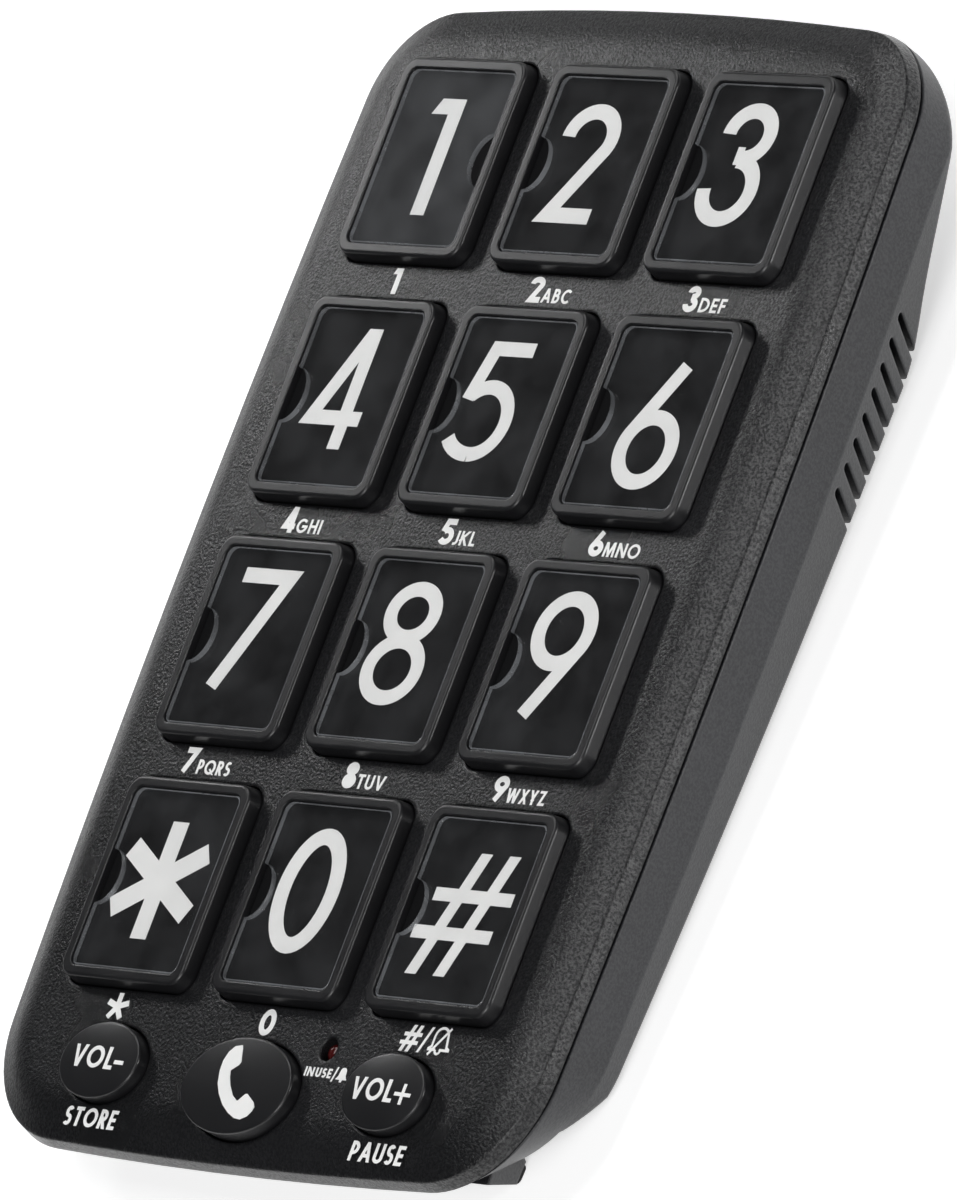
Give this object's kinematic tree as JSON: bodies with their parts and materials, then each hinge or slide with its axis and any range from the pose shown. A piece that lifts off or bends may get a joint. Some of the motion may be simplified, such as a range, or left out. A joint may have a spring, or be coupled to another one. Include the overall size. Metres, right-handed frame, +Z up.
{
  "type": "big button landline phone",
  "caption": "Corded desk telephone with large framed number keys under clear covers, oval volume and call keys, an in-use lamp and a wedge-shaped louvred back",
  "frame": {"origin": "middle of the bounding box's bottom face, on the surface the phone lies on", "axes": "+Z up; +Y from the oval keys towards the top end of the phone; +X to the right of the keypad"},
  "size_m": [0.1114, 0.165, 0.0257],
  "materials": {
    "casing": "fine spark-eroded grain",
    "key": "satin",
    "card": "printed black card",
    "clear_cover": "clear polished",
    "lamp": "tinted clear lens",
    "board": "solder mask",
    "components": "moulded",
    "key_mat": "silicone",
    "speaker": "pressed basket",
    "steel": "plated",
    "socket": "moulded",
    "contacts": "gold flashed",
    "rubber": "matt"
  },
  "bodies": {
    "casing": {"front_cover": "casing", "rear_cover": "casing", "circuit_board": "board", "board_components": "components", "key_mat": "key_mat", "in_use_lamp": "lamp", "loudspeaker": "speaker", "microphone": "steel", "microphone_boot": "rubber", "line_socket": "socket", "line_socket_contacts": "contacts", "board_screws": "steel", "case_screws": "steel", "back_pads": "rubber", "lower_feet": "rubber"},
    "key_1": {"key_1": "key", "card_1": "card"},
    "key_2": {"key_2": "key", "card_2": "card"},
    "key_3": {"key_3": "key", "card_3": "card"},
    "key_4": {"key_4": "key", "card_4": "card"},
    "key_5": {"key_5": "key", "card_5": "card"},
    "key_6": {"key_6": "key", "card_6": "card"},
    "key_7": {"key_7": "key", "card_7": "card"},
    "key_8": {"key_8": "key", "card_8": "card"},
    "key_9": {"key_9": "key", "card_9": "card"},
    "key_star": {"key_star": "key", "card_star": "card"},
    "key_0": {"key_0": "key", "card_0": "card"},
    "key_hash": {"key_hash": "key", "card_hash": "card"},
    "volume_down_key": {"volume_down_key": "key"},
    "call_key": {"call_key": "key"},
    "volume_up_key": {"volume_up_key": "key"},
    "window_1": {"window_1": "clear_cover"},
    "window_2": {"window_2": "clear_cover"},
    "window_3": {"window_3": "clear_cover"},
    "window_4": {"window_4": "clear_cover"},
    "window_5": {"window_5": "clear_cover"},
    "window_6": {"window_6": "clear_cover"},
    "window_7": {"window_7": "clear_cover"},
    "window_8": {"window_8": "clear_cover"},
    "window_9": {"window_9": "clear_cover"},
    "window_star": {"window_star": "clear_cover"},
    "window_0": {"window_0": "clear_cover"},
    "window_hash": {"window_hash": "clear_cover"}
  },
  "joints": [
    {"name": "press_1", "type": "slide", "parent": "casing", "child": "key_1", "axis": [0, -0.0558, 0.9984], "range_m": [-0.0012, 0], "stiffness_N_per_m": 400, "springref_m": 0.0015, "deforming": ["key_mat"]},
    {"name": "press_2", "type": "slide", "parent": "casing", "child": "key_2", "axis": [0, -0.0558, 0.9984], "range_m": [-0.0012, 0], "stiffness_N_per_m": 400, "springref_m": 0.0015, "deforming": ["key_mat"]},
    {"name": "press_3", "type": "slide", "parent": "casing", "child": "key_3", "axis": [0, -0.0558, 0.9984], "range_m": [-0.0012, 0], "stiffness_N_per_m": 400, "springref_m": 0.0015, "deforming": ["key_mat"]},
    {"name": "press_4", "type": "slide", "parent": "casing", "child": "key_4", "axis": [0, -0.0558, 0.9984], "range_m": [-0.0012, 0], "stiffness_N_per_m": 400, "springref_m": 0.0015, "deforming": ["key_mat"]},
    {"name": "press_5", "type": "slide", "parent": "casing", "child": "key_5", "axis": [0, -0.0558, 0.9984], "range_m": [-0.0012, 0], "stiffness_N_per_m": 400, "springref_m": 0.0015, "deforming": ["key_mat"]},
    {"name": "press_6", "type": "slide", "parent": "casing", "child": "key_6", "axis": [0, -0.0558, 0.9984], "range_m": [-0.0012, 0], "stiffness_N_per_m": 400, "springref_m": 0.0015, "deforming": ["key_mat"]},
    {"name": "press_7", "type": "slide", "parent": "casing", "child": "key_7", "axis": [0, -0.0558, 0.9984], "range_m": [-0.0012, 0], "stiffness_N_per_m": 400, "springref_m": 0.0015, "deforming": ["key_mat"]},
    {"name": "press_8", "type": "slide", "parent": "casing", "child": "key_8", "axis": [0, -0.0558, 0.9984], "range_m": [-0.0012, 0], "stiffness_N_per_m": 400, "springref_m": 0.0015, "deforming": ["key_mat"]},
    {"name": "press_9", "type": "slide", "parent": "casing", "child": "key_9", "axis": [0, -0.0558, 0.9984], "range_m": [-0.0012, 0], "stiffness_N_per_m": 400, "springref_m": 0.0015, "deforming": ["key_mat"]},
    {"name": "press_star", "type": "slide", "parent": "casing", "child": "key_star", "axis": [0, -0.0558, 0.9984], "range_m": [-0.0012, 0], "stiffness_N_per_m": 400, "springref_m": 0.0015, "deforming": ["key_mat"]},
    {"name": "press_0", "type": "slide", "parent": "casing", "child": "key_0", "axis": [0, -0.0558, 0.9984], "range_m": [-0.0012, 0], "stiffness_N_per_m": 400, "springref_m": 0.0015, "deforming": ["key_mat"]},
    {"name": "press_hash", "type": "slide", "parent": "casing", "child": "key_hash", "axis": [0, -0.0558, 0.9984], "range_m": [-0.0012, 0], "stiffness_N_per_m": 400, "springref_m": 0.0015, "deforming": ["key_mat"]},
    {"name": "press_volume_down", "type": "slide", "parent": "casing", "child": "volume_down_key", "axis": [0, -0.0558, 0.9984], "range_m": [-0.0012, 0], "stiffness_N_per_m": 400, "springref_m": 0.0015, "deforming": ["key_mat"]},
    {"name": "press_call", "type": "slide", "parent": "casing", "child": "call_key", "axis": [0, -0.0558, 0.9984], "range_m": [-0.0012, 0], "stiffness_N_per_m": 400, "springref_m": 0.0015, "deforming": ["key_mat"]},
    {"name": "press_volume_up", "type": "slide", "parent": "casing", "child": "volume_up_key", "axis": [0, -0.0558, 0.9984], "range_m": [-0.0012, 0], "stiffness_N_per_m": 400, "springref_m": 0.0015, "deforming": ["key_mat"]},
    {"name": "lift_window_1", "type": "slide", "parent": "key_1", "child": "window_1", "axis": [0, -0.0558, 0.9984], "range_m": [0, 0.003]},
    {"name": "lift_window_2", "type": "slide", "parent": "key_2", "child": "window_2", "axis": [0, -0.0558, 0.9984], "range_m": [0, 0.003]},
    {"name": "lift_window_3", "type": "slide", "parent": "key_3", "child": "window_3", "axis": [0, -0.0558, 0.9984], "range_m": [0, 0.003]},
    {"name": "lift_window_4", "type": "slide", "parent": "key_4", "child": "window_4", "axis": [0, -0.0558, 0.9984], "range_m": [0, 0.003]},
    {"name": "lift_window_5", "type": "slide", "parent": "key_5", "child": "window_5", "axis": [0, -0.0558, 0.9984], "range_m": [0, 0.003]},
    {"name": "lift_window_6", "type": "slide", "parent": "key_6", "child": "window_6", "axis": [0, -0.0558, 0.9984], "range_m": [0, 0.003]},
    {"name": "lift_window_7", "type": "slide", "parent": "key_7", "child": "window_7", "axis": [0, -0.0558, 0.9984], "range_m": [0, 0.003]},
    {"name": "lift_window_8", "type": "slide", "parent": "key_8", "child": "window_8", "axis": [0, -0.0558, 0.9984], "range_m": [0, 0.003]},
    {"name": "lift_window_9", "type": "slide", "parent": "key_9", "child": "window_9", "axis": [0, -0.0558, 0.9984], "range_m": [0, 0.003]},
    {"name": "lift_window_star", "type": "slide", "parent": "key_star", "child": "window_star", "axis": [0, -0.0558, 0.9984], "range_m": [0, 0.003]},
    {"name": "lift_window_0", "type": "slide", "parent": "key_0", "child": "window_0", "axis": [0, -0.0558, 0.9984], "range_m": [0, 0.003]},
    {"name": "lift_window_hash", "type": "slide", "parent": "key_hash", "child": "window_hash", "axis": [0, -0.0558, 0.9984], "range_m": [0, 0.003]}
  ]
}
